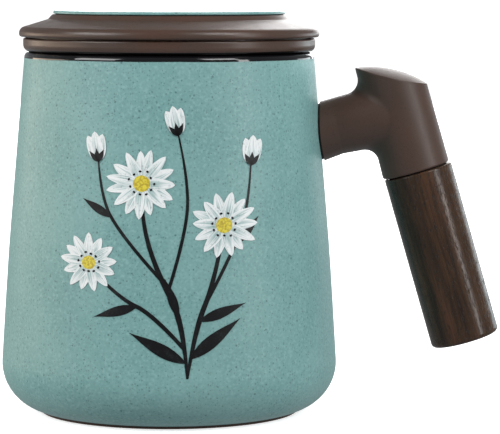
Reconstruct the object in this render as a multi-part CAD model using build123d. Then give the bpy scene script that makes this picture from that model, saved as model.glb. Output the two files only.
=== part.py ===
from build123d import *

import os
from math import cos, pi, radians, sin, sqrt, tan

# Lidded stoneware tea cup with a lift-out infuser and a side handle of stoneware and wood.
# Millimetres, +Z up. The origin is the centre of the foot ring, on the surface the cup stands on.
# The handle points along +X.

# Cup body: a wall that widens and swells a little towards a round heel, on a low foot ring
CUP_HEIGHT = 99.3
RIM_RADIUS = 39.8
RIM_LAND = 0.8  # flat crest of the rim, which carries the infuser
WALL_LEAN = 4.3  # degrees that the wall widens on its way down
SWELL = 0.5  # how far the wall's fullest place stands out from the line between rim and heel
SWELL_BELOW_RIM = 57.0
SWELL_ROUND = 900.0  # radius of the wall's profile at its fullest place
WALL = 3.6
FLOOR = 5.4  # from the underside within the foot ring to the inside
HEEL_ROUND = 13.2
INNER_HEEL_ROUND = 10.0
HEEL_RISE = 14.0  # degrees that the heel rises from the foot ring
FOOT_RADIUS = 35.8
FOOT_HEIGHT = 0.7
FOOT_WIDTH = 4.0
FOOT_RECESS = 1.8
FOOT_ROUND = 0.3

# Handle elbow: a barrel that leans with the grip, on a neck luted to the wall
HANDLE_TILT = 16.2  # degrees that the grip leans out towards its lower end
NECK_BELOW_RIM = 21.5
NECK_HEIGHT = CUP_HEIGHT - NECK_BELOW_RIM  # where the neck's axis meets the wall
NECK_REACH = 22.87  # along the neck, from the wall to the barrel's axis
NECK_RADIUS = 7.55  # at the wall
NECK_SPREAD = 3.0  # degrees that each side of the neck opens towards the barrel
NECK_FLARE = 0.5  # how much wider than its own line the neck is at the wall
NECK_FLARE_DROP = 0.4  # how far the flare sits below the neck's axis at the wall
NECK_FLARE_REACH = 4.8  # along the neck, from the wall to the end of the flare
NECK_BLEND = 3.8
BARREL_SPARE = 0.3  # how much wider the barrel is than the neck that runs into it
BARREL_RADIUS = NECK_RADIUS + NECK_REACH * tan(radians(NECK_SPREAD)) + BARREL_SPARE  # at its top
BARREL_LEAN = 1.6  # degrees that the barrel's side towards the cup leans out on its way down
BARREL_ABOVE_NECK = 9.0  # from the neck's height at the wall to the middle of the slanted top
BARREL_BELOW_NECK = 18.0  # from the neck's height at the wall to the seam with the grip
TOP_SLANT = 28.0  # degrees that the top leans outwards from square
TOP_CROWN = 1.85  # rise of the top over its edge, along the slant
TOP_CROWN_ACROSS = 2.3  # the same across the slant
TOP_ROUND = 0.3
SEAM_ROUND = 0.5
LUTE = 0.6  # clay slip layer between the wall and the neck
LUTE_INSET = 0.5

# Wooden grip, its steel stud, and the epoxy that beds the stud in the elbow and fills the seam
GRIP_RADIUS = 9.5
GRIP_LENGTH = 48.8
GRIP_END_ROUND = 1.2
SEAM = 0.3
SEAM_INSET = 1.0
STUD_RADIUS = 3.0
STUD_IN_GRIP = 22.0
STUD_IN_ELBOW = 14.0
STUD_POINT = 0.8
STUD_END_ROOM = 1.5
SOCKET_RADIUS = 4.5
BEDDING_FIT = 0.05

# Infuser: a collar that rests on the rim, and a pierced basket that hangs from it
COLLAR_OVERHANG = 0.4
COLLAR_RADIUS = RIM_RADIUS + COLLAR_OVERHANG
COLLAR_HEIGHT = 3.8
COLLAR_UNDER_ROUND = 2.0
COLLAR_TOP_ROUND = 0.5
MOUTH_ROUND = 0.8
BASKET_CLEARANCE = 0.9  # between the basket and the cup's mouth
BASKET_WALL = 2.8
BASKET_DEPTH = 62.0  # from the rim to the underside of the basket
BASKET_FOOT_RADIUS = 27.0
BASKET_FLOOR = 3.0
BASKET_HEEL_ROUND = 6.0
BASKET_INNER_ROUND = 3.5
HOLE_RADIUS = 1.2
HOLE_PITCH = 6.0
HOLE_EDGE = 2.6  # least wall between a floor hole and the inner heel
SIDE_HOLE_ROWS = 3

# Lid: a brim on the collar, a skirt inside the mouth, and a raised step that carries the plate
BRIM_OVERHANG = 1.1
BRIM_RADIUS = COLLAR_RADIUS + BRIM_OVERHANG
BRIM_THICKNESS = 2.35
BRIM_RELIEF = 0.35  # shadow gap that the outer brim keeps from the collar
BRIM_RELIEF_WIDTH = 3.6
BRIM_EDGE_ROUND = 0.7
BRIM_TOP_ROUND = 1.8
SHOULDER_RISE = 2.5
SHOULDER_WIDTH = 8.0
STEP_FOOT_RADIUS = BRIM_RADIUS - SHOULDER_WIDTH
STEP_LEAN = 1.1  # how far the step draws in on its way up
STEP_TOP_RADIUS = STEP_FOOT_RADIUS - STEP_LEAN
STEP_HEIGHT = 1.25
STEP_FOOT_ROUND = 0.7
SKIRT_CLEARANCE = 0.6  # between the skirt and the infuser's mouth
SKIRT_WALL = 2.6
SKIRT_DEPTH = 3.6
SKIRT_END_ROOM = 1.0  # straight bore of the mouth past the skirt's lower edge
SKIRT_ROUND = 0.7
LID_CEILING = 3.0
LID_INNER_ROUND = 2.0

# Plate: a glazed disc with a spigot, bonded on the lid's step
PLATE_INSET = 0.3
PLATE_RADIUS = STEP_TOP_RADIUS - PLATE_INSET
PLATE_THICKNESS = 0.85
PLATE_ROUND = 0.5
PLATE_UNDER_ROUND = 0.25
SPIGOT_INSET = 5.0
SPIGOT_RADIUS = PLATE_RADIUS - SPIGOT_INSET
SPIGOT_DEPTH = 1.0
SPIGOT_FIT = 0.3
PLATE_BOND = 0.2
PLATE_BOND_INSET = 0.6

ROUND_SHARE = 0.97  # most of a side that the rounding of one corner may take

# Heights that several pieces share
collar_top = CUP_HEIGHT + COLLAR_HEIGHT
basket_base = CUP_HEIGHT - BASKET_DEPTH
brim_top = collar_top + BRIM_RELIEF + BRIM_THICKNESS
step_foot = brim_top + SHOULDER_RISE
plate_seat = step_foot + STEP_HEIGHT
plate_base = plate_seat + PLATE_BOND
spigot_floor = plate_base - SPIGOT_DEPTH - SPIGOT_FIT
lid_ceiling = spigot_floor - LID_CEILING

# Radii that several pieces share
basket_radius = RIM_RADIUS - WALL - BASKET_CLEARANCE
mouth_radius = basket_radius - BASKET_WALL
skirt_radius = mouth_radius - SKIRT_CLEARANCE
spigot_recess = SPIGOT_RADIUS + SPIGOT_FIT

UPWARDS = (Align.CENTER, Align.CENTER, Align.MIN)
DOWNWARDS = (Align.CENTER, Align.CENTER, Align.MAX)


def wall_line(height):
    """Radius at a height of the straight line between rim and heel, which the wall swells out from."""
    return RIM_RADIUS + (CUP_HEIGHT - height) * tan(radians(WALL_LEAN))


fullest_height = CUP_HEIGHT - SWELL_BELOW_RIM
fullest_radius = wall_line(fullest_height) + SWELL


def upper_wall(height):
    """Outside radius of the wall at a height between its fullest place and the rim."""
    return RIM_RADIUS + (fullest_radius - RIM_RADIUS) * (CUP_HEIGHT - height) / SWELL_BELOW_RIM


# Handle frame: origin in the seam, z up the barrel, x along the neck away from the cup
along_neck = Vector(cos(radians(HANDLE_TILT)), 0, sin(radians(HANDLE_TILT)))
up_barrel = Vector(-sin(radians(HANDLE_TILT)), 0, cos(radians(HANDLE_TILT)))
neck_foot = Vector(upper_wall(NECK_HEIGHT), 0, NECK_HEIGHT)
seam_centre = neck_foot + along_neck * NECK_REACH - up_barrel * BARREL_BELOW_NECK
HANDLE = Plane(origin=seam_centre, x_dir=along_neck, z_dir=up_barrel)


def turned(*outline):
    """Turn a closed outline of (radius, height, rounding) corners once round the cup's axis.

    A rounding that its shorter side has no room for is limited to the room there is.
    """
    corners = [Vector(radius, 0, height) for radius, height, _ in outline]
    roundings = []
    for index, (_, _, rounding) in enumerate(outline):
        to_last = corners[index - 1] - corners[index]
        to_next = corners[(index + 1) % len(corners)] - corners[index]
        half_angle = radians(to_last.get_angle(to_next)) / 2
        room = min(to_last.length, to_next.length) * tan(half_angle)
        roundings.append(min(rounding, ROUND_SHARE * room))
    section = make_face(FilletPolyline(*corners, radius=roundings, close=True))
    return revolve(section, Axis.Z)


def cup_body():
    """Stoneware cup with its foot ring and the rounded rim."""
    # The heel's corner is where the rising underside would meet the wall's line
    heel_slope = tan(radians(HEEL_RISE))
    closing = heel_slope * tan(radians(WALL_LEAN))
    heel_radius = (wall_line(FOOT_HEIGHT) + FOOT_RADIUS * closing) / (1 + closing)
    heel_height = FOOT_HEIGHT + (heel_radius - FOOT_RADIUS) * heel_slope
    inside_floor = FOOT_RECESS + FLOOR
    rim_round = (WALL - RIM_LAND) / 2
    foot_inside = FOOT_RADIUS - FOOT_WIDTH
    return turned(
        (0, FOOT_RECESS, 0),
        (foot_inside, FOOT_RECESS, FOOT_ROUND),
        (foot_inside, 0, FOOT_ROUND),
        (FOOT_RADIUS, 0, FOOT_ROUND),
        (FOOT_RADIUS, FOOT_HEIGHT, 0),
        (heel_radius, heel_height, HEEL_ROUND),
        (fullest_radius, fullest_height, SWELL_ROUND),
        (RIM_RADIUS, CUP_HEIGHT, rim_round),
        (RIM_RADIUS - WALL, CUP_HEIGHT, rim_round),
        (fullest_radius - WALL, fullest_height, SWELL_ROUND - WALL),
        (wall_line(inside_floor) - WALL, inside_floor, INNER_HEEL_ROUND),
        (0, inside_floor, 0),
    )


def wall_cone(stand_off):
    """The space within the wall above its fullest place, grown outwards by a stand-off."""
    low_radius = fullest_radius + stand_off
    high_radius = RIM_RADIUS + stand_off
    return Pos(0, 0, fullest_height) * Cone(low_radius, high_radius, SWELL_BELOW_RIM, align=UPWARDS)


def neck(inset=0):
    """The neck in the handle frame, run on past the cup's wall so that the wall can cut it.

    Its upper side stays square to the barrel, its lower side drops as it opens, and it flares at
    the wall, mostly downwards.
    """
    run_on = NECK_RADIUS
    opening = tan(radians(NECK_SPREAD))

    def radius(out):
        return NECK_RADIUS + out * opening - inset

    bar = Cone(radius(-run_on), radius(NECK_REACH), run_on + NECK_REACH, align=UPWARDS)
    # The flare's own cone is carried on inside the bar, so that the two cross at the flare's end
    rings = []
    for out in (-run_on, 2 * NECK_FLARE_REACH):
        share = 1 - out / NECK_FLARE_REACH
        ring = Circle(radius(out) + share * NECK_FLARE)
        rings.append(Pos(share * NECK_FLARE_DROP, 0, out) * ring)
    arm = Pos(0, 0, -run_on) * bar + loft(rings, ruled=True)
    at_wall = Pos(-NECK_REACH, 0, BARREL_BELOW_NECK)
    return at_wall * Rot(0, 90 + NECK_SPREAD, 0) * arm


def top_crown():
    """The space below the elbow's domed top: an egg shape, longer along the slant than across it.

    Its origin is the middle of the top's edge and its z axis is square to the slant.
    """
    half_slant = BARREL_RADIUS / cos(radians(TOP_SLANT))
    across = (BARREL_RADIUS**2 + TOP_CROWN_ACROSS**2) / (2 * TOP_CROWN_ACROSS)
    along = half_slant / sqrt(1 - (1 - TOP_CROWN / across) ** 2)
    half_section = Ellipse(along, across) & Rectangle(2 * along, across, align=(Align.CENTER, Align.MIN))
    return Pos(0, 0, TOP_CROWN - across) * revolve(half_section, Axis.X)


def handle_elbow():
    """Stoneware elbow with its slanted, crowned top and the blind socket for the stud."""
    barrel_length = BARREL_BELOW_NECK + BARREL_ABOVE_NECK
    barrel_top = Pos(0, 0, barrel_length)
    # The barrel's cone is tipped by its own slope, so that its far side stays parallel to the grip
    half_lean = BARREL_LEAN / 2
    opening = tan(radians(half_lean))
    run_down = barrel_length + BARREL_RADIUS
    run_up = 2 * BARREL_RADIUS
    low_radius = BARREL_RADIUS + run_down * opening
    high_radius = BARREL_RADIUS - run_up * opening
    cone = Cone(low_radius, high_radius, run_down + run_up, align=UPWARDS)
    barrel = split(barrel_top * Rot(0, half_lean, 0) * Pos(0, 0, -run_down) * cone, Plane.XY)
    barrel &= barrel_top * Rot(0, TOP_SLANT, 0) * top_crown()
    ends = barrel.edges().filter_by(GeomType.LINE, reverse=True).sort_by(Axis.Z)
    barrel = fillet(ends[-1], TOP_ROUND)
    seam_edge = barrel.edges().sort_by(Axis.Z)[0]
    barrel = fillet(seam_edge, SEAM_ROUND)

    arm = neck()
    joined = barrel + arm
    elbow = fillet(new_edges(barrel, arm, combined=joined), NECK_BLEND)
    elbow -= Cylinder(SOCKET_RADIUS, STUD_IN_ELBOW + STUD_END_ROOM, align=UPWARDS)
    return HANDLE * elbow - wall_cone(LUTE)


def elbow_lute():
    """Thin layer of slip that joins the neck to the cup's wall."""
    return HANDLE * neck(LUTE_INSET) & (wall_cone(LUTE) - wall_cone(0))


def handle_stud():
    """Steel stud, half in the elbow's socket and half in the grip."""
    length = STUD_IN_ELBOW + SEAM + STUD_IN_GRIP
    rod = Pos(0, 0, STUD_IN_ELBOW) * Cylinder(STUD_RADIUS, length, align=DOWNWARDS)
    return HANDLE * chamfer(rod.edges().filter_by(GeomType.CIRCLE), STUD_POINT)


def stud_bond():
    """Epoxy round the stud in the elbow's socket, with the thin film that fills the seam."""
    plug_length = STUD_IN_ELBOW + STUD_END_ROOM - BEDDING_FIT
    plug = Cylinder(SOCKET_RADIUS - BEDDING_FIT, plug_length, align=UPWARDS)
    film = Cylinder(BARREL_RADIUS - SEAM_INSET, SEAM, align=DOWNWARDS)
    bed_length = SEAM + STUD_IN_ELBOW + BEDDING_FIT
    bed = Pos(0, 0, -SEAM) * Cylinder(STUD_RADIUS + BEDDING_FIT, bed_length, align=UPWARDS)
    return HANDLE * (plug + film - bed)


def handle_grip():
    """Turned wooden grip with its blind hole for the stud."""
    grip = Cylinder(GRIP_RADIUS, GRIP_LENGTH, align=DOWNWARDS)
    rims = grip.edges().filter_by(GeomType.CIRCLE).sort_by(Axis.Z)
    grip = fillet(rims[0], GRIP_END_ROUND)
    top_rim = grip.edges().filter_by(GeomType.CIRCLE).sort_by(Axis.Z)[-1]
    grip = fillet(top_rim, SEAM_ROUND)
    grip -= Cylinder(STUD_RADIUS + BEDDING_FIT, STUD_IN_GRIP + STUD_END_ROOM, align=DOWNWARDS)
    return HANDLE * Pos(0, 0, -SEAM) * grip


def infuser():
    """Stoneware infuser: collar and basket in one piece, pierced in the floor and low in the wall."""
    floor_top = basket_base + BASKET_FLOOR
    inner_foot = BASKET_FOOT_RADIUS - BASKET_WALL
    taper = (basket_radius - BASKET_FOOT_RADIUS) / BASKET_DEPTH
    body = turned(
        (0, basket_base, 0),
        (BASKET_FOOT_RADIUS, basket_base, BASKET_HEEL_ROUND),
        (basket_radius, CUP_HEIGHT, 0),
        (COLLAR_RADIUS, CUP_HEIGHT, COLLAR_UNDER_ROUND),
        (COLLAR_RADIUS, collar_top, COLLAR_TOP_ROUND),
        (mouth_radius, collar_top, MOUTH_ROUND),
        (mouth_radius, collar_top - SKIRT_DEPTH - SKIRT_END_ROOM, 0),
        (inner_foot + BASKET_FLOOR * taper, floor_top, BASKET_INNER_ROUND),
        (0, floor_top, 0),
    )

    drill = Cylinder(HOLE_RADIUS, 4 * max(BASKET_FLOOR, BASKET_WALL))
    holes = [Pos(0, 0, basket_base) * drill]
    ring_count = int((inner_foot - BASKET_INNER_ROUND - HOLE_EDGE) / HOLE_PITCH)
    for ring in range(1, ring_count + 1):
        for place in PolarLocations(ring * HOLE_PITCH, 6 * ring):
            holes.append(place * Pos(0, 0, basket_base) * drill)

    first_row = floor_top + BASKET_INNER_ROUND + HOLE_PITCH
    for row in range(SIDE_HOLE_ROWS):
        height = first_row + row * HOLE_PITCH
        radius = BASKET_FOOT_RADIUS + (height - basket_base) * taper - BASKET_WALL / 2
        around = int(pi * radius / HOLE_PITCH)
        stagger = (row % 2) * 180 / around
        for place in PolarLocations(radius, around, start_angle=stagger):
            holes.append(Pos(0, 0, height) * place * Rot(0, 90, 0) * drill)
    return body - holes


def lid():
    """Stoneware lid with its locating skirt, sloped shoulder and raised step."""
    relief_radius = BRIM_RADIUS - BRIM_RELIEF_WIDTH
    skirt_inside = skirt_radius - SKIRT_WALL
    skirt_base = collar_top - SKIRT_DEPTH
    return turned(
        (0, lid_ceiling, 0),
        (skirt_inside, lid_ceiling, LID_INNER_ROUND),
        (skirt_inside, skirt_base, SKIRT_ROUND),
        (skirt_radius, skirt_base, SKIRT_ROUND),
        (skirt_radius, collar_top, 0),
        (relief_radius, collar_top, 0),
        (relief_radius, collar_top + BRIM_RELIEF, 0),
        (BRIM_RADIUS, collar_top + BRIM_RELIEF, BRIM_EDGE_ROUND),
        (BRIM_RADIUS, brim_top, BRIM_TOP_ROUND),
        (STEP_FOOT_RADIUS, step_foot, STEP_FOOT_ROUND),
        (STEP_TOP_RADIUS, plate_seat, 0),
        (spigot_recess, plate_seat, 0),
        (spigot_recess, spigot_floor, 0),
        (0, spigot_floor, 0),
    )


def plate_bond():
    """Thin ring of glue between the lid's step and the plate."""
    outside = min(PLATE_RADIUS, STEP_TOP_RADIUS) - PLATE_BOND_INSET
    return turned(
        (spigot_recess, plate_seat, 0),
        (outside, plate_seat, 0),
        (outside, plate_base, 0),
        (spigot_recess, plate_base, 0),
    )


def lid_plate():
    """Glazed disc that tops the lid, with the spigot that centres it."""
    plate_top = plate_base + PLATE_THICKNESS
    return turned(
        (0, plate_base - SPIGOT_DEPTH, 0),
        (SPIGOT_RADIUS, plate_base - SPIGOT_DEPTH, 0),
        (SPIGOT_RADIUS, plate_base, 0),
        (PLATE_RADIUS, plate_base, PLATE_UNDER_ROUND),
        (PLATE_RADIUS, plate_top, PLATE_ROUND),
        (0, plate_top, 0),
    )


NODES = (
    cup_body,
    elbow_lute,
    handle_elbow,
    stud_bond,
    handle_stud,
    handle_grip,
    infuser,
    lid,
    plate_bond,
    lid_plate,
)

os.makedirs("parts", exist_ok=True)
for make_node in NODES:
    export_step(make_node(), f"parts/{make_node.__name__}.step")
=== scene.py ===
import math
import random

import bpy
from mathutils import Matrix, Vector


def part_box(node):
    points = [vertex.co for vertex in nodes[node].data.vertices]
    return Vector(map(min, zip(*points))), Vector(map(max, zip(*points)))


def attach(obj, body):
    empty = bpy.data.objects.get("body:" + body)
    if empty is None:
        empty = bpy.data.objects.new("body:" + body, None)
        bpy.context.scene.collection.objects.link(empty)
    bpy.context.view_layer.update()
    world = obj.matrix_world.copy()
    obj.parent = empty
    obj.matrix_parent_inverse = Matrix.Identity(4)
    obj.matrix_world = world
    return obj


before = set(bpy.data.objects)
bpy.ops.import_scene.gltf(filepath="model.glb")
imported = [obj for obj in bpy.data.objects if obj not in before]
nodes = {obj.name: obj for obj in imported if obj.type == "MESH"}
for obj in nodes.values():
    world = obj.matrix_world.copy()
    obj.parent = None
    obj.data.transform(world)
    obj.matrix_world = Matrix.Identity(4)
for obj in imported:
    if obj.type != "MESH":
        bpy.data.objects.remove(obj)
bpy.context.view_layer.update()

# Looks of a lidded stoneware tea cup: glazes, clay, wood, a painted spray of daisies, and a studio.
# Metres, in the frame of the solids: +Z up, the handle along +X, and the front of the cup at -Y.

MM = 0.001

# Cup: the outside and the thickness of its wall, which tell the glazes apart and carry the paint
RIM_RADIUS = 39.8 * MM
WALL_LEAN = math.radians(4.3)
SWELL = 0.5 * MM  # how far the wall's fullest place stands out from the line between rim and heel
SWELL_BELOW_RIM = 57.0 * MM
SWELL_EASE = 9.75 * MM  # how far the rounding of the fullest place runs up and down the wall
HEEL_CORNER_HEIGHT = 3.5 * MM  # where the wall's line would meet the underside
WALL = 3.6 * MM
HEEL_CENTRE_RADIUS = 32.7 * MM  # middle of the round heel, halfway through the wall
HEEL_CENTRE_HEIGHT = 15.4 * MM
HEEL_ROUND = 11.6 * MM
rim_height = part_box("cup_body")[1].z

# Edges between glazes, and of the painted shade under the collar
BLACK_BAND = 1.7 * MM  # height of the black glaze over the rim
BLACK_WAVE = 0.25 * MM
PAINTED_SHADE_UNDER_COLLAR = 0.75 * MM  # height of the painted shade, black, on the collar's rounded underside, where it faces the dark rim
GLAZE_LINE = 0.12 * MM  # width over which one glaze runs into the next
BARE_FOOT = 0.75 * MM  # height of the unglazed foot ring
BARE_RECESS_RADIUS = 32.3 * MM
BARE_RECESS_HEIGHT = 3.0 * MM

# Glaze, clay and wood colours, linear
TEAL_PALE = (0.206, 0.394, 0.380)
TEAL_DEEP = (0.172, 0.353, 0.344)
TEAL_SAND = (0.234, 0.432, 0.419)  # pale grains in the glaze
TEAL_SPECK = (0.030, 0.082, 0.084)
# black of the glaze over the rim and inside, also used as the painted shade under the collar
BLACK_GLAZE_AND_PAINTED_SHADE = (0.004, 0.004, 0.005)
BROWN_CLAY = (0.064, 0.037, 0.027)
BROWN_CLAY_RED = (0.075, 0.038, 0.026)
BROWN_GRAIN = (0.032, 0.020, 0.015)
WOOD_DARK = (0.018, 0.009, 0.005)
WOOD_BROWN = (0.064, 0.031, 0.014)
WOOD_RED = (0.084, 0.036, 0.018)
WOOD_PORE = (0.006, 0.004, 0.003)
SLIP = (0.014, 0.011, 0.010)
EPOXY = (0.010, 0.009, 0.008)
STEEL = (0.46, 0.46, 0.47)
WHITE_PAINT = (0.88, 0.90, 0.90)
YELLOW_PAINT = (0.74, 0.63, 0.050)
OCHRE_PAINT = (0.48, 0.35, 0.030)
INK = (0.004, 0.004, 0.005)
INK_DRY = (0.020, 0.026, 0.026)
FLOOR_WHITE = (0.86, 0.86, 0.855)

# Teal glaze: sizes of its patterns, how much of the glaze each kind of speck hides, and its relief
TEAL_DRIFT = 16 * MM
TEAL_CURDLE = 1.6 * MM
TEAL_CURDLE_SHARE = 0.3  # weight of the curdling against the drifts
TEAL_SAND_SIZE = 0.75 * MM
FINE_SPECK_SPACING = 0.62 * MM
FINE_SPECK_RADIUS = 0.44 * MM
FINE_SPECK_COVER = 0.44
BOLD_SPECK_SPACING = 1.6 * MM
BOLD_SPECK_RADIUS = 0.54 * MM
BOLD_SPECK_COVER = 0.62
FAINT_SPECK_COVER = 0.12
SPECK_RAGGED = 0.5  # size of the notches in a speck's edge against its radius
SPECK_MISSING = 0.25  # share of the places that stay without a speck
SPECK_EDGE = 0.3  # width of a speck's soft edge against its radius
GLAZE_PEEL = 0.9 * MM  # size of the orange peel
GLAZE_PATCH = 4 * MM  # size of the duller and shinier patches
CUP_RELIEF = 0.012 * MM
CUP_ROUGHNESS = 0.38
PLATE_RELIEF = 0.004 * MM
PLATE_ROUGHNESS = 0.26
SPECK_ROUGHNESS = 0.1  # what a speck adds
BLACK_ROUGHNESS = 0.05
BLACK_WAVE_LENGTH = 9 * MM
BARE_CLAY_GRAIN = 0.35 * MM
BARE_CLAY_ROUGHNESS = 0.8

# Brown stoneware
CLAY_DRIFT = 22 * MM
CLAY_GRAIN = 0.4 * MM
CLAY_RUB = 5 * MM
CLAY_PIT_COVER = 0.55
CLAY_RELIEF = 0.015 * MM
WHEEL_LINE = 0.9 * MM
WHEEL_LINE_STRETCH = (60.0, 60.0, 1.0)
TURNED_ROUGHNESS = 0.28
MOULDED_ROUGHNESS = 0.37
CLAY_UNEVEN = 0.12  # what rubbing and pits each add to the roughness
# roughness of the painted shade under the collar
PAINTED_SHADE_ROUGHNESS = 0.12

# Wood: width of its streaks, fibres and pores, and how far each is drawn out along the grain
WOOD_SHINE = 0.36  # reflection at the surface, where plain varnish has 0.5
STREAK = 3.2 * MM
STREAK_STRETCH = 12.0
FIBRE = 0.50 * MM
FIBRE_STRETCH = 22.0
FIBRE_COVER = 0.62
PORE = 0.26 * MM
PORE_STRETCH = 7.0
PORE_COVER = 0.80
WOOD_RELIEF = 0.045 * MM
WOOD_ROUGHNESS = 0.17
FIBRE_ROUGHNESS = 0.16  # what fibres and pores add
PORE_ROUGHNESS = 0.30

# Fillers, steel and paint
LUMP = 0.8 * MM
LUMP_RELIEF = 0.05 * MM
FILLER_ROUGHNESS = 0.6
SLIP_LIFT = 1.7  # how much paler the high places of a filler are
EPOXY_LIFT = 1.5
STEEL_SCRATCH = 0.3 * MM
STEEL_SCRATCH_STRETCH = 20.0
STEEL_DIM = 0.8  # brightness in the scratches
STEEL_RELIEF = 0.004 * MM
STEEL_ROUGHNESS = 0.28
INK_SHINE = 0.28
INK_WET = 2.2 * MM
INK_HAIR = 0.35 * MM
INK_ROUGHNESS = 0.38
STIPPLE = 0.55 * MM
STIPPLE_RELIEF = 0.03 * MM
STIPPLE_ROUGHNESS = 0.45
BRUSH_RELIEF = 0.01 * MM
BRUSH_ROUGHNESS = 0.40
HAIRS_ACROSS = 9.0  # streaks of the brush over a stroke's width
HAIRS_ALONG = 1.1
LOT_SPREAD = 40.0  # how far apart the strokes' patterns are taken

# Grip, whose grain follows its lean
HANDLE_TILT = math.radians(16.2)
grip_low, grip_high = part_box("handle_grip")
grip_centre = (grip_low + grip_high) / 2


def wall_line(height):
    """Radius at a height, a number or a wire, of the line between the cup's rim and heel."""
    return RIM_RADIUS + (rim_height - height) * math.tan(WALL_LEAN)


class Wire:
    """An output socket. Arithmetic and comparisons on it add Math nodes."""

    def __init__(self, finish, socket):
        self.finish = finish
        self.socket = socket

    def other(self, output):
        """Another output of the same node."""
        return Wire(self.finish, self.socket.node.outputs[output])

    def math(self, operation, first, second=0.0):
        return self.finish.add("Math", {"operation": operation}, {0: first, 1: second})

    def __add__(self, other):
        return self.math("ADD", self, other)

    def __radd__(self, other):
        return self.math("ADD", other, self)

    def __sub__(self, other):
        return self.math("SUBTRACT", self, other)

    def __rsub__(self, other):
        return self.math("SUBTRACT", other, self)

    def __mul__(self, other):
        return self.math("MULTIPLY", self, other)

    def __rmul__(self, other):
        return self.math("MULTIPLY", other, self)

    def __gt__(self, other):
        return self.math("GREATER_THAN", self, other)

    def least(self, other):
        return self.math("MINIMUM", self, other)

    def most(self, other):
        return self.math("MAXIMUM", self, other)

    def root(self):
        return self.math("SQRT", self)


class Finish:
    """A material being mixed. add() places any node and returns one of its outputs."""

    def __init__(self, name, **shader_values):
        self.material = bpy.data.materials.new(name)
        self.material.use_nodes = True
        self.tree = self.material.node_tree
        self.shader = self.tree.nodes["Principled BSDF"]
        self.feed(self.shader, shader_values)
        self.place = self.add("TexCoord", output="Object")

    def feed(self, node, sockets):
        """Set or link a node's inputs, given by name or by number."""
        for key, value in sockets.items():
            if isinstance(key, int):
                socket = node.inputs[key]
            else:
                socket = next(each for each in node.inputs if each.name == key and each.enabled)
            if isinstance(value, Wire):
                self.tree.links.new(value.socket, socket)
            elif socket.type == "RGBA":
                socket.default_value = (*value, 1.0)
            else:
                socket.default_value = value

    def add(self, kind, settings=None, sockets=None, output=None):
        node = self.tree.nodes.new("ShaderNode" + kind)
        for key, value in (settings or {}).items():
            setattr(node, key, value)
        self.feed(node, sockets or {})
        if output is None:
            socket = next(each for each in node.outputs if each.enabled)
        else:
            socket = node.outputs[output]
        return Wire(self, socket)

    def noise(self, place, size, detail=2.0):
        """Cloudy noise from 0 to 1 whose patches measure about the given size."""
        sockets = {"Vector": place, "Scale": 1 / size, "Detail": detail}
        return self.add("TexNoise", None, sockets)

    def step(self, value, start, end):
        """A smooth step: 0 at start, 1 at end."""
        sockets = {"Value": value, "From Min": start, "From Max": end}
        return self.add("MapRange", {"interpolation_type": "SMOOTHSTEP"}, sockets)

    def mix(self, mask, low, high):
        """The low colour where the mask is 0, the high one where it is 1."""
        sockets = {"Factor": mask, "A": low, "B": high}
        return self.add("Mix", {"data_type": "RGBA"}, sockets)

    def stretched(self, place, stretch):
        """Coordinates whose pattern is drawn out along each axis."""
        sockets = {"Vector": place, "Scale": stretch}
        return self.add("Mapping", {"vector_type": "TEXTURE"}, sockets)

    def specks(self, place, spacing, radius):
        """Uneven specks of mixed sizes, scattered at about the given spacing."""
        cloud = self.noise(place, SPECK_RAGGED * radius).other("Color")
        shove = self.add("VectorMath", {"operation": "SCALE"}, {"Vector": cloud, "Scale": radius})
        uneven = self.add("VectorMath", {"operation": "ADD"}, {0: place, 1: shove})
        cells = self.add("TexVoronoi", None, {"Vector": uneven, "Scale": 1 / spacing})
        lot = self.add("SeparateColor", None, {"Color": cells.other("Color")})
        reach = (lot - SPECK_MISSING) * (radius / spacing)
        return self.step(cells - reach, 0.0, -SPECK_EDGE * radius / spacing)

    def finish(self, colour, roughness, height=None, relief=0.0):
        """Send the colour, roughness and relief, in metres, to the shader."""
        self.feed(self.shader, {"Base Color": colour, "Roughness": roughness})
        if height is not None:
            bump = self.add("Bump", None, {"Height": height, "Distance": relief})
            self.feed(self.shader, {"Normal": bump})
        return self.material


def wear(node, material):
    """Give a solid its material."""
    slots = nodes[node].data.materials
    slots.clear()
    slots.append(material)


def teal_glaze(finish):
    """Colour and specks of the teal glaze: slow drifts, fine curdling, pale sand, dark iron specks."""
    drift = finish.noise(finish.place, TEAL_DRIFT, 3.0)
    curdle = finish.noise(finish.place, TEAL_CURDLE, 2.0)
    blend = drift * (1 - TEAL_CURDLE_SHARE) + curdle * TEAL_CURDLE_SHARE
    clear = finish.mix(finish.step(blend, 0.36, 0.64), TEAL_DEEP, TEAL_PALE)
    sand = finish.noise(finish.place, TEAL_SAND_SIZE, 1.0)
    sanded = finish.mix(finish.step(sand, 0.50, 0.72), clear, TEAL_SAND)
    fine = finish.specks(finish.place, FINE_SPECK_SPACING, FINE_SPECK_RADIUS) * FINE_SPECK_COVER
    bold = finish.specks(finish.place, BOLD_SPECK_SPACING, BOLD_SPECK_RADIUS) * BOLD_SPECK_COVER
    faint = FAINT_SPECK_COVER * finish.step(sand, 0.46, 0.28)
    specks = fine.most(bold).most(faint)
    return finish.mix(specks, sanded, TEAL_SPECK), specks


def teal_relief(finish):
    """Faint orange-peel of the glaze."""
    return finish.noise(finish.place, GLAZE_PEEL, 2.0)


def glazed_plate():
    """Teal glaze of the lid's plate, shinier than the cup's."""
    finish = Finish("teal_glaze_plate")
    colour, specks = teal_glaze(finish)
    patches = finish.noise(finish.place, GLAZE_PATCH)
    roughness = PLATE_ROUGHNESS + 0.08 * patches + SPECK_ROUGHNESS * specks
    return finish.finish(colour, roughness, teal_relief(finish), PLATE_RELIEF)


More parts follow.
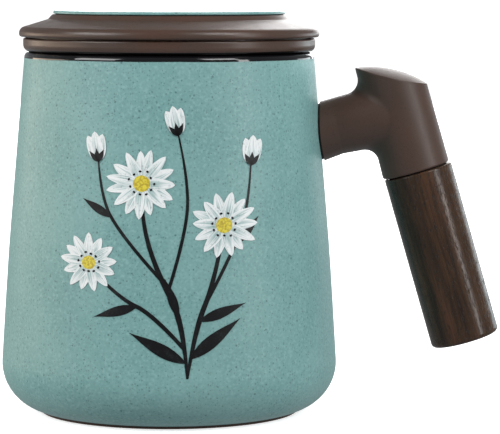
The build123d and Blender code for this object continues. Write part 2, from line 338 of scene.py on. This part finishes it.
def glazed_cup():
    """Teal outside, glossy black over the rim and inside, bare brown clay on the foot."""
    finish = Finish("teal_glaze_cup")
    parts = finish.add("SeparateXYZ", None, {"Vector": finish.place})
    across = parts
    along = parts.other("Y")
    height = parts.other("Z")
    radius = (across * across + along * along).root()

    wave = finish.noise(finish.place, BLACK_WAVE_LENGTH, 2.0)
    band_edge = rim_height - BLACK_BAND + BLACK_WAVE * (wave - 0.5)
    on_rim = finish.step(height - band_edge, 0.0, GLAZE_LINE)
    wall_middle = wall_line(height) - WALL / 2
    heel_out = (radius - HEEL_CENTRE_RADIUS).most(0.0)
    heel_down = (height - HEEL_CENTRE_HEIGHT).least(0.0)
    heel_reach = (heel_out * heel_out + heel_down * heel_down).root()
    inside = (wall_middle > radius) * (HEEL_ROUND - heel_reach > 0.0)
    black = on_rim.most(inside)
    in_recess = (BARE_RECESS_RADIUS - radius > 0.0) * (BARE_RECESS_HEIGHT - height > 0.0)
    bare = finish.step(height, BARE_FOOT + GLAZE_LINE, BARE_FOOT).most(in_recess)

    teal, specks = teal_glaze(finish)
    grain = finish.noise(finish.place, BARE_CLAY_GRAIN, 3.0)
    clay = finish.mix(finish.step(grain, 0.4, 0.65), BROWN_CLAY, BROWN_GRAIN)
    colour = finish.mix(bare, finish.mix(black, teal, BLACK_GLAZE_AND_PAINTED_SHADE), clay)
    patches = finish.noise(finish.place, GLAZE_PATCH)
    satin = CUP_ROUGHNESS + 0.10 * patches + SPECK_ROUGHNESS * specks
    gloss = BLACK_ROUGHNESS + 0.02 * wave
    glazed = satin + black * (gloss - satin)
    roughness = glazed + bare * (BARE_CLAY_ROUGHNESS - glazed)
    relief = teal_relief(finish) * (1 - 0.8 * black) + bare * grain
    return finish.finish(colour, roughness, relief, CUP_RELIEF)


def brown_stoneware(name, turned, painted_shade_below=0.0):
    """Smooth dark stoneware with fine grain; turned pieces keep faint lines from the wheel.

    Painted shade, black, covers the outside of a collar below the given height, where its rounded
    underside faces the dark rim.
    """
    finish = Finish(name)
    drift = finish.noise(finish.place, CLAY_DRIFT, 3.0)
    grain = finish.noise(finish.place, CLAY_GRAIN, 3.0)
    body = finish.mix(finish.step(drift, 0.35, 0.65), BROWN_CLAY, BROWN_CLAY_RED)
    pits = finish.step(grain, 0.56, 0.72)
    colour = finish.mix(CLAY_PIT_COVER * pits, body, BROWN_GRAIN)
    rub = finish.noise(finish.place, CLAY_RUB, 3.0)
    smoothest = TURNED_ROUGHNESS if turned else MOULDED_ROUGHNESS
    roughness = smoothest + CLAY_UNEVEN * rub + CLAY_UNEVEN * pits
    relief = grain
    if turned:
        rings = finish.noise(finish.stretched(finish.place, WHEEL_LINE_STRETCH), WHEEL_LINE, 2.0)
        relief = grain * 0.5 + rings
    # Painted shade: the outside of the collar is coloured black below a height, where its underside
    # faces the dark rim
    if painted_shade_below:
        parts = finish.add("SeparateXYZ", None, {"Vector": finish.place})
        along = parts.other("Y")
        radius = (parts * parts + along * along).root()
        outside = radius > RIM_RADIUS - WALL
        black = outside * finish.step(parts.other("Z"), painted_shade_below + GLAZE_LINE, painted_shade_below)
        colour = finish.mix(black, colour, BLACK_GLAZE_AND_PAINTED_SHADE)
        roughness = roughness + black * (PAINTED_SHADE_ROUGHNESS - roughness)
    return finish.finish(colour, roughness, relief, CLAY_RELIEF)


def dark_wood():
    """Dark oiled hardwood: brown and reddish streaks, fine fibres and open pores along the grip."""
    finish = Finish("dark_wood", **{"Specular IOR Level": WOOD_SHINE})
    settings = {"vector_type": "TEXTURE"}
    turn = {"Vector": finish.place, "Location": grip_centre, "Rotation": (0, -HANDLE_TILT, 0)}
    grain = finish.add("Mapping", settings, turn)
    streaks = finish.noise(finish.stretched(grain, (1.0, 1.0, STREAK_STRETCH)), STREAK, 4.0)
    fibres = finish.noise(finish.stretched(grain, (1.0, 1.0, FIBRE_STRETCH)), FIBRE, 3.0)
    pores = finish.noise(finish.stretched(grain, (1.0, 1.0, PORE_STRETCH)), PORE, 1.0)
    brown = finish.mix(finish.step(streaks, 0.28, 0.58), WOOD_DARK, WOOD_BROWN)
    red = finish.mix(finish.step(streaks, 0.52, 0.76), brown, WOOD_RED)
    fibrous = finish.mix(FIBRE_COVER * finish.step(fibres, 0.40, 0.66), red, WOOD_DARK)
    open_pores = finish.step(pores, 0.57, 0.68)
    colour = finish.mix(PORE_COVER * open_pores, fibrous, WOOD_PORE)
    roughness = WOOD_ROUGHNESS + FIBRE_ROUGHNESS * fibres + PORE_ROUGHNESS * open_pores
    relief = fibres * 0.5 - open_pores
    return finish.finish(colour, roughness, relief, WOOD_RELIEF)


def matte_joint(name, colour_low, lift):
    """Dull, slightly lumpy filler of a joint: slip or epoxy."""
    finish = Finish(name)
    lumps = finish.noise(finish.place, LUMP, 3.0)
    colour_high = tuple(channel * lift for channel in colour_low)
    colour = finish.mix(finish.step(lumps, 0.35, 0.65), colour_low, colour_high)
    return finish.finish(colour, FILLER_ROUGHNESS + 0.25 * lumps, lumps, LUMP_RELIEF)


def plain_steel():
    """Drawn steel rod with fine scratches."""
    finish = Finish("steel", Metallic=1.0)
    along = finish.stretched(finish.place, (1.0, 1.0, STEEL_SCRATCH_STRETCH))
    scratches = finish.noise(along, STEEL_SCRATCH, 3.0)
    colour = finish.mix(scratches, tuple(channel * STEEL_DIM for channel in STEEL), STEEL)
    return finish.finish(colour, STEEL_ROUGHNESS + 0.2 * scratches, scratches, STEEL_RELIEF)


def white_enamel():
    """Thin white strokes of a brush: streaks along each stroke let the teal through."""
    finish = Finish("white_enamel")
    teal, specks = teal_glaze(finish)
    parts = finish.add("SeparateXYZ", None, {"Vector": finish.add("UVMap")})
    across = parts
    along = parts.other("Y")
    lot = finish.add("Attribute", {"attribute_name": STROKE_LOT}, output="Fac")
    brush = {"X": across * HAIRS_ACROSS, "Y": along * HAIRS_ALONG, "Z": lot * LOT_SPREAD}
    hairs = finish.noise(finish.add("CombineXYZ", None, brush), 1.0, 3.0)
    middle = 4 * across * (1 - across)
    thinned = middle * finish.step(along, 0.95, 0.25)
    cover = finish.step(hairs - 0.22 * thinned, 0.12, 0.54) * 0.80 + 0.18
    colour = finish.mix(cover, teal, WHITE_PAINT)
    speckled = finish.mix(0.35 * specks, colour, TEAL_SPECK)
    return finish.finish(speckled, BRUSH_ROUGHNESS + 0.15 * hairs, hairs, BRUSH_RELIEF)


def ink_enamel():
    """Black ink, a little dry along the stroke."""
    finish = Finish("ink_enamel", **{"Specular IOR Level": INK_SHINE})
    wet = finish.noise(finish.place, INK_WET, 4.0)
    hairs = finish.noise(finish.place, INK_HAIR, 2.0)
    dry = finish.step(wet * 0.55 + hairs * 0.45, 0.52, 0.66)
    colour = finish.mix(0.7 * dry, INK, INK_DRY)
    return finish.finish(colour, INK_ROUGHNESS + 0.2 * dry, hairs, BRUSH_RELIEF)


def yellow_enamel():
    """Stippled yellow with ochre in its hollows."""
    finish = Finish("yellow_enamel")
    stipple = finish.noise(finish.place, STIPPLE, 2.0)
    colour = finish.mix(finish.step(stipple, 0.38, 0.62), OCHRE_PAINT, YELLOW_PAINT)
    return finish.finish(colour, STIPPLE_ROUGHNESS + 0.1 * stipple, stipple, STIPPLE_RELIEF)


# Painted spray: drawn flat as it is seen from the front, in millimetres, x to the right and y up
STROKE_LOT = "stroke_lot"  # a number of its own for each brush stroke
FILM = 0.05 * MM
LAYER = 0.045 * MM  # how much further out each coat of paint lies
NIB = 1.0  # width of the pen line, before each point's own width
PEN_STEPS = 24  # straight runs between two points of a pen line
BLADE_COLUMNS = 5
BLADE_ROWS = 12
BLADE_LEAST_WIDTH = 0.02  # share of the width that is left at a stroke's tips
SAME_ROW = 1e-4
FORMER_RINGS = 48
FORMER_SIDES = 360
MERGE_DISTANCE = 0.0005 * MM
FILM_SMOOTH_ANGLE = math.radians(40)
PETAL_FOOT = 1.1  # from a daisy's middle to the foot of its petals
PETAL_STRAY = 4  # degrees
PETAL_LENGTHS = (0.92, 1.06)  # from the shortest to the longest, against the named length
PETAL_WIDTHS = (0.92, 1.08)
CENTRE_SHARE = 0.55  # width of a daisy's centre against the length of its petals
DOT_RING_SHARE = 0.40
DOT_RINGS = (0.85, 1.1)
DOTS_PER_DAISY = 11
DOT_LENGTH = 0.75
DOT_WIDTH = 0.55
BUD_MIDDLE = (7.4, 3.4)  # length and width of a bud's middle petal
BUD_SIDE = (6.8, 3.2)
BUD_LEAN = 17  # degrees between a bud's middle petal and its side ones
SEPAL = (3.6, 1.3)
SEPAL_LEAN = 32
SEPAL_DROP = 0.6
brush_hand = random.Random(17)


def select_only(*pieces):
    """Select these pieces alone and make the first one active."""
    bpy.ops.object.select_all(action="DESELECT")
    for piece in pieces:
        piece.select_set(True)
    bpy.context.view_layer.objects.active = pieces[0]


def brush_blade(name, width_along):
    """A stroke one long and one wide, from the origin up: a grid whose rows follow a width formula."""
    bpy.ops.object.select_all(action="DESELECT")
    cells = {"x_subdivisions": BLADE_COLUMNS, "y_subdivisions": BLADE_ROWS}
    bpy.ops.mesh.primitive_grid_add(size=1, location=(0, 0.5, 0), **cells)
    blade = bpy.context.object
    blade.name = name
    bpy.ops.object.transform_apply(location=True)
    heights = sorted({round(corner.co.y, 5) for corner in blade.data.vertices})
    for height in heights:
        bpy.ops.object.mode_set(mode="EDIT")
        bpy.ops.mesh.select_all(action="DESELECT")
        bpy.ops.object.mode_set(mode="OBJECT")
        for corner in blade.data.vertices:
            corner.select = abs(corner.co.y - height) < SAME_ROW
        bpy.ops.object.mode_set(mode="EDIT")
        width = max(width_along(height), BLADE_LEAST_WIDTH)
        bpy.ops.transform.resize(value=(width, 1, 1), center_override=(0, height, 0))
        bpy.ops.object.mode_set(mode="OBJECT")
    return blade


def stroke(blade, foot, heading, length, width):
    """A copy of a blade: foot in millimetres, heading in degrees, 0 up and positive to the left."""
    piece = blade.copy()
    piece.data = blade.data.copy()
    bpy.context.scene.collection.objects.link(piece)
    place = Matrix.Translation((foot[0] * MM, foot[1] * MM, 0))
    turn = Matrix.Rotation(math.radians(heading), 4, "Z")
    size = Matrix.Diagonal((width * MM, length * MM, 1, 1))
    piece.data.transform(place @ turn @ size)
    lots = piece.data.attributes.new(STROKE_LOT, "FLOAT", "POINT")
    lot = brush_hand.random()
    for corner in lots.data:
        corner.value = lot
    return piece


def pen_line(nib, points):
    """A flat line through (x, y, width) points in millimetres."""
    bpy.ops.object.select_all(action="DESELECT")
    bpy.ops.curve.primitive_nurbs_path_add()
    piece = bpy.context.object
    curve = piece.data
    curve.dimensions = "2D"
    curve.resolution_u = PEN_STEPS
    curve.bevel_mode = "OBJECT"
    curve.bevel_object = nib
    curve.splines.clear()
    spline = curve.splines.new("NURBS")
    spline.points.add(len(points) - 1)
    for corner, (x, y, width) in zip(spline.points, points):
        corner.co = (x * MM, y * MM, 0, 1)
        corner.radius = width * MM / NIB
    spline.order_u = 3
    spline.use_endpoint_u = True
    bpy.ops.object.convert(target="MESH")
    return bpy.context.object


def wall_radius(height):
    """Outside radius of the cup's wall: two straight runs that a shallow curve joins."""
    fullest_height = rim_height - SWELL_BELOW_RIM
    upper_turn = SWELL / SWELL_BELOW_RIM
    lower_turn = SWELL / (fullest_height - HEEL_CORNER_HEIGHT)
    above = height - fullest_height
    fall = above * upper_turn if above > 0 else -above * lower_turn
    short_of_ease = max(SWELL_EASE - abs(above), 0)
    eased = (upper_turn + lower_turn) / 4 * short_of_ease ** 2 / SWELL_EASE
    return wall_line(height) + SWELL - fall - eased


def wall_former():
    """A turned form with the slope and swell of the cup's wall, to press the flat strokes against."""
    bpy.ops.object.select_all(action="DESELECT")
    radius, height = wall_radius(HEEL_CORNER_HEIGHT), HEEL_CORNER_HEIGHT
    bpy.ops.mesh.primitive_circle_add(vertices=FORMER_SIDES, radius=radius, location=(0, 0, height))
    former = bpy.context.object
    bpy.ops.object.transform_apply(location=True)
    bpy.ops.object.mode_set(mode="EDIT")
    bpy.ops.mesh.select_all(action="SELECT")
    rise = (rim_height - HEEL_CORNER_HEIGHT) / FORMER_RINGS
    for _ in range(FORMER_RINGS):
        height += rise
        bpy.ops.mesh.extrude_edges_move(TRANSFORM_OT_translate={"value": (0, 0, rise)})
        grow = wall_radius(height) / radius
        bpy.ops.transform.resize(value=(grow, grow, 1), center_override=(0, 0, height))
        radius *= grow
    bpy.ops.object.mode_set(mode="OBJECT")
    return former


def lay_on_wall(name, pieces, former, material, coat):
    """Join flat strokes, press them against the former as one coat of paint, and give it a film."""
    select_only(*pieces)
    bpy.ops.object.join()
    paint = bpy.context.object
    paint.name = name
    bpy.ops.object.mode_set(mode="EDIT")
    bpy.ops.mesh.select_all(action="SELECT")
    bpy.ops.mesh.remove_doubles(threshold=MERGE_DISTANCE)
    bpy.ops.object.mode_set(mode="OBJECT")
    paint.rotation_euler = (math.pi / 2, 0, 0)
    paint.location = (0, -2 * RIM_RADIUS, 0)
    bpy.ops.object.transform_apply(location=True, rotation=True, scale=True)

    press = paint.modifiers.new("press", "SHRINKWRAP")
    press.target = former
    press.wrap_method = "PROJECT"
    press.use_project_y = True
    press.wrap_mode = "ABOVE_SURFACE"
    press.offset = LAYER * (coat + 0.5)
    film = paint.modifiers.new("film", "SOLIDIFY")
    film.thickness = FILM
    film.offset = 1.0
    for modifier in (press, film):
        bpy.ops.object.modifier_apply(modifier=modifier.name)
    bpy.ops.object.shade_smooth_by_angle(angle=FILM_SMOOTH_ANGLE)
    paint.data.materials.clear()
    paint.data.materials.append(material)
    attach(paint, "cup")


def daisy_petals(blade, centre, count, length, width, start):
    """Petals round a centre, every other one for the upper coat. A petal's foot is off the centre."""
    under, over = [], []
    for index in range(count):
        heading = start + index * 360 / count + brush_hand.uniform(-PETAL_STRAY, PETAL_STRAY)
        turn = math.radians(heading)
        foot = (centre[0] - PETAL_FOOT * math.sin(turn), centre[1] + PETAL_FOOT * math.cos(turn))
        reach = length * brush_hand.uniform(*PETAL_LENGTHS)
        petal = stroke(blade, foot, heading, reach, width * brush_hand.uniform(*PETAL_WIDTHS))
        (over if index % 2 else under).append(petal)
    return under, over


def round_blade(height):
    """Share of its width that a petal has at a share of its length: blunt at the tip."""
    return math.sin(math.pi * height ** 0.66) ** 0.55 if 0 < height < 1 else 0


def leaf_blade(height):
    """The same for a leaf, which is pointed at both ends."""
    return math.sin(math.pi * height ** 0.78) ** 1.15 if 0 < height < 1 else 0


def disc_blade(height):
    """The same for a round dab."""
    return 2 * math.sqrt(max(height * (1 - height), 0))


def painted_spray():
    """Stems, leaves, daisies and buds on the front of the cup, in six coats of paint."""
    petal = brush_blade("petal_blade", round_blade)
    leaf = brush_blade("leaf_blade", leaf_blade)
    disc = brush_blade("disc_blade", disc_blade)
    bpy.ops.curve.primitive_nurbs_path_add()
    nib = bpy.context.object
    nib.data.splines.clear()
    line = nib.data.splines.new("POLY")
    line.points.add(1)
    line.points[0].co = (-NIB / 2, 0, 0, 1)
    line.points[1].co = (NIB / 2, 0, 0, 1)

    stems = [
        pen_line(nib, [(6, 15, 0.6), (5, 30, 1.7), (-2, 43, 1.3), (-6, 56, 1.0), (-6, 64, 0.8)]),
        pen_line(nib, [(6, 15, 0.6), (8, 28, 1.5), (13, 40, 1.2), (15.5, 54, 0.8)]),
        pen_line(nib, [(5, 23, 1.0), (-3, 32, 1.2), (-12, 36, 1.0), (-19, 43, 0.7)]),
        pen_line(nib, [(11, 35, 0.9), (18, 48, 0.9), (22, 60, 0.7), (22.5, 71, 0.4)]),
        pen_line(nib, [(-1, 41, 0.9), (-13, 54, 0.9), (-17, 64, 0.7), (-17.5, 72, 0.4)]),
        pen_line(nib, [(1, 38, 0.9), (6, 54, 0.9), (6, 68, 0.7), (3.5, 79, 0.4)]),
    ]
    leaves = [
        stroke(leaf, (5.8, 19), 62, 17, 3.4),
        stroke(leaf, (6.4, 20), -52, 17, 3.4),
        stroke(leaf, (9, 30), -70, 13, 2.8),
        stroke(leaf, (3.8, 31), 20, 11, 2.4),
        stroke(leaf, (-7, 34), 105, 12, 2.6),
        stroke(leaf, (19, 50), -38, 9, 2.2),
        stroke(leaf, (-14, 57), 58, 9, 2.2),
    ]
    # Each daisy: its middle, the count, length and width of its petals, and the first one's heading,
    # a number that also sets where its ring of dots starts
    daisies = [
        ((-6, 66), 15, 8.0, 3.0, 5),
        ((15.5, 55), 14, 7.6, 3.0, 12),
        ((-20, 45), 13, 6.6, 2.8, 0),
    ]
    under, over, centres, dots = [], [], [], []
    for centre, count, length, width, start in daisies:
        lower, upper = daisy_petals(petal, centre, count, length, width, start)
        under += lower
        over += upper
        size = CENTRE_SHARE * length
        centres.append(stroke(disc, (centre[0], centre[1] - size / 2), 0, size, size))
        for index in range(DOTS_PER_DAISY):
            turn = math.tau * index / DOTS_PER_DAISY + start
            ring = DOT_RING_SHARE * length * brush_hand.uniform(*DOT_RINGS)
            spot = (centre[0] + ring * math.cos(turn), centre[1] + ring * math.sin(turn))
            dots.append(stroke(disc, spot, math.degrees(turn), DOT_LENGTH, DOT_WIDTH))
    # Each bud: its foot and its heading
    buds = [((22.5, 71), -4), ((-17.5, 72), 8), ((3.5, 79), 12)]
    for foot, heading in buds:
        for lean in (-BUD_LEAN, BUD_LEAN):
            under.append(stroke(petal, foot, heading + lean, *BUD_SIDE))
        over.append(stroke(petal, foot, heading, *BUD_MIDDLE))
        sepal_foot = (foot[0], foot[1] - SEPAL_DROP)
        for lean in (-SEPAL_LEAN, 0, SEPAL_LEAN):
            dots.append(stroke(leaf, sepal_foot, heading + lean, *SEPAL))

    white, ink = white_enamel(), ink_enamel()
    former = wall_former()
    lay_on_wall("painted_stems", stems, former, ink, 0)
    lay_on_wall("painted_leaves", leaves, former, ink, 1)
    lay_on_wall("painted_petals_under", under, former, white, 2)
    lay_on_wall("painted_petals_over", over, former, white, 3)
    lay_on_wall("painted_centres", centres, former, yellow_enamel(), 4)
    lay_on_wall("painted_dots", dots, former, ink, 5)
    for tool in (petal, leaf, disc, nib, former):
        bpy.data.objects.remove(tool)


# Studio: a round white sweep, softboxes, and a camera with a long lens
SWEEP_RADIUS = 2.3
SWEEP_CURVE = 0.7
SWEEP_STEPS = 8
SWEEP_SIDES = 96
SWEEP_SMOOTH_ANGLE = math.radians(60)
FLOOR_DUST = 0.4  # size of the floor's faint clouds
FLOOR_DUST_DIM = 0.97
FLOOR_ROUGHNESS = 0.9
FLOOR_GLOW_NEAR = (0.70, 0.70, 0.70)
FLOOR_GLOW_FAR = (0.90, 0.90, 0.90)
FLOOR_NEAR = 0.2  # distances over which the near glow turns into the far one
FLOOR_FAR = 1.8
FLOOR_DROP = 0.2 * MM  # keeps the floor clear of the foot
WHITE_LIGHT = (1.0, 1.0, 1.0)
WARM_LIGHT = (1.0, 0.80, 0.62)
COOL_LIGHT = (0.86, 0.96, 1.0)
AIR_ABOVE = 0.26
AIR_BELOW = 0.42
AIR_FADE_LOW = -0.35  # upward part of a direction at which the light from below starts to fade
AIR_FADE_HIGH = 0.15
AIR_COLOUR = (0.93, 0.97, 1.0, 1.0)
CAMERA_PLACE = Vector((0.02232, -0.760, 0.1206))
CAMERA_AIM = Vector((0.02232, 0.0, 0.0536))
CAMERA_LENS = 198.24
CAMERA_ROLL = math.radians(0.14)
CAMERA_FAR = 50.0
LIGHT_AIM = Vector((0.0, 0.0, 0.055))


def white_sweep():
    """A round floor that curves up into a low wall all round."""
    finish = Finish("floor_white")
    dust = finish.noise(finish.place, FLOOR_DUST, 3.0)
    dusty = tuple(channel * FLOOR_DUST_DIM for channel in FLOOR_WHITE)
    finish.finish(finish.mix(dust, dusty, FLOOR_WHITE), FLOOR_ROUGHNESS)
    away = finish.add("VectorMath", {"operation": "LENGTH"}, {"Vector": finish.place}, "Value")
    glow = finish.mix(finish.step(away, FLOOR_NEAR, FLOOR_FAR), FLOOR_GLOW_NEAR, FLOOR_GLOW_FAR)
    finish.feed(finish.shader, {"Emission Color": glow, "Emission Strength": 1.0})
    bpy.ops.object.select_all(action="DESELECT")
    ring = {"vertices": SWEEP_SIDES, "radius": SWEEP_RADIUS, "location": (0, 0, -FLOOR_DROP)}
    bpy.ops.mesh.primitive_circle_add(fill_type="NGON", **ring)
    sweep = bpy.context.object
    sweep.name = "sweep"
    bpy.ops.object.mode_set(mode="EDIT")
    bpy.ops.mesh.select_all(action="DESELECT")
    bpy.ops.mesh.select_non_manifold()
    radius, height = SWEEP_RADIUS, 0.0
    for index in range(1, SWEEP_STEPS + 1):
        turn = index / SWEEP_STEPS * math.pi / 2
        next_radius = SWEEP_RADIUS + SWEEP_CURVE * math.sin(turn)
        next_height = SWEEP_CURVE * (1 - math.cos(turn))
        rise = {"value": (0, 0, next_height - height)}
        bpy.ops.mesh.extrude_edges_move(TRANSFORM_OT_translate=rise)
        grow = next_radius / radius
        middle = (0, 0, next_height - FLOOR_DROP)
        bpy.ops.transform.resize(value=(grow, grow, 1), center_override=middle)
        radius, height = next_radius, next_height
    bpy.ops.object.mode_set(mode="OBJECT")
    bpy.ops.object.transform_apply(location=True)
    bpy.ops.object.shade_smooth_by_angle(angle=SWEEP_SMOOTH_ANGLE)
    sweep.data.materials.append(finish.material)
    sweep.visible_diffuse = False
    sweep.visible_glossy = False


def softbox(name, azimuth, elevation, distance, width, height, power, colour=WHITE_LIGHT):
    """A soft panel of light. Azimuth is in degrees from the camera's side, positive to the right."""
    turn, rise = math.radians(azimuth), math.radians(elevation)
    level = distance * math.cos(rise)
    away = Vector((level * math.sin(turn), -level * math.cos(turn), distance * math.sin(rise)))
    bpy.ops.object.light_add(type="AREA", location=LIGHT_AIM + away)
    lamp = bpy.context.object
    lamp.name = name
    lamp.data.shape = "RECTANGLE"
    lamp.data.size = width
    lamp.data.size_y = height
    lamp.data.energy = power
    lamp.data.color = colour
    lamp.visible_camera = False
    lamp.rotation_euler = away.to_track_quat("Z", "Y").to_euler()
    return lamp


def studio_air():
    """Even light from all sides, brighter from below as off a white table."""
    world = bpy.data.worlds.new("studio_air")
    world.use_nodes = True
    tree = world.node_tree
    way = tree.nodes.new("ShaderNodeTexCoord")
    parts = tree.nodes.new("ShaderNodeSeparateXYZ")
    fade = tree.nodes.new("ShaderNodeMapRange")
    fade.inputs["From Min"].default_value = AIR_FADE_LOW
    fade.inputs["From Max"].default_value = AIR_FADE_HIGH
    fade.inputs["To Min"].default_value = AIR_BELOW
    fade.inputs["To Max"].default_value = AIR_ABOVE
    tree.links.new(way.outputs["Generated"], parts.inputs["Vector"])
    tree.links.new(parts.outputs["Z"], fade.inputs["Value"])
    tree.links.new(fade.outputs["Result"], tree.nodes["Background"].inputs["Strength"])
    tree.nodes["Background"].inputs["Color"].default_value = AIR_COLOUR
    bpy.context.scene.world = world


def studio():
    """Floor, lights and camera. Each light: azimuth, elevation, distance, width, height and power."""
    white_sweep()
    softbox("softbox_left", -60, 27, 1.1, 0.70, 0.5, 7.5)
    softbox("strip_low_left", -103, 2.5, 1.3, 1.60, 0.20, 3.9, WARM_LIGHT)
    softbox("softbox_back_left", -138, 14, 1.5, 0.70, 0.9, 3.5).visible_glossy = False
    softbox("strip_low_right", 136, 2.5, 1.4, 0.70, 0.20, 1.3, COOL_LIGHT)
    softbox("softbox_right", 46, 36, 1.1, 0.50, 0.5, 6.0)
    softbox("strip_right", 61, 9, 1.1, 0.18, 0.4, 1.9)
    softbox("softbox_side", 114, 20, 1.1, 0.46, 0.5, 3.6).visible_glossy = False
    softbox("softbox_behind", 172, 15, 1.8, 0.96, 0.9, 10.5)
    softbox("softbox_behind_high", 160, 38, 1.8, 0.60, 0.6, 4.0)
    softbox("softbox_above", 180, 75, 1.8, 1.20, 1.2, 2.5).visible_glossy = False
    studio_air()

    bpy.ops.object.camera_add(location=CAMERA_PLACE)
    camera = bpy.context.object
    camera.data.lens = CAMERA_LENS
    camera.data.clip_end = CAMERA_FAR
    camera.rotation_euler = (CAMERA_AIM - CAMERA_PLACE).to_track_quat("-Z", "Y").to_euler()
    camera.rotation_euler.rotate_axis("Z", CAMERA_ROLL)
    bpy.context.scene.camera = camera
    bpy.context.scene.view_settings.view_transform = "Standard"


wear("cup_body", glazed_cup())
wear("lid_plate", glazed_plate())
turned_clay = brown_stoneware("brown_stoneware_turned", True)
wear("lid", turned_clay)
# top of the painted shade on the collar's underside
painted_shade_below = rim_height + PAINTED_SHADE_UNDER_COLLAR
wear("infuser", brown_stoneware("brown_stoneware_collar", True, painted_shade_below))
wear("handle_elbow", brown_stoneware("brown_stoneware_moulded", False))
wear("handle_grip", dark_wood())
wear("handle_stud", plain_steel())
wear("elbow_lute", matte_joint("clay_slip", SLIP, SLIP_LIFT))
seam_filler = matte_joint("dark_epoxy", EPOXY, EPOXY_LIFT)
wear("stud_bond", seam_filler)
wear("plate_bond", seam_filler)
painted_spray()
studio()
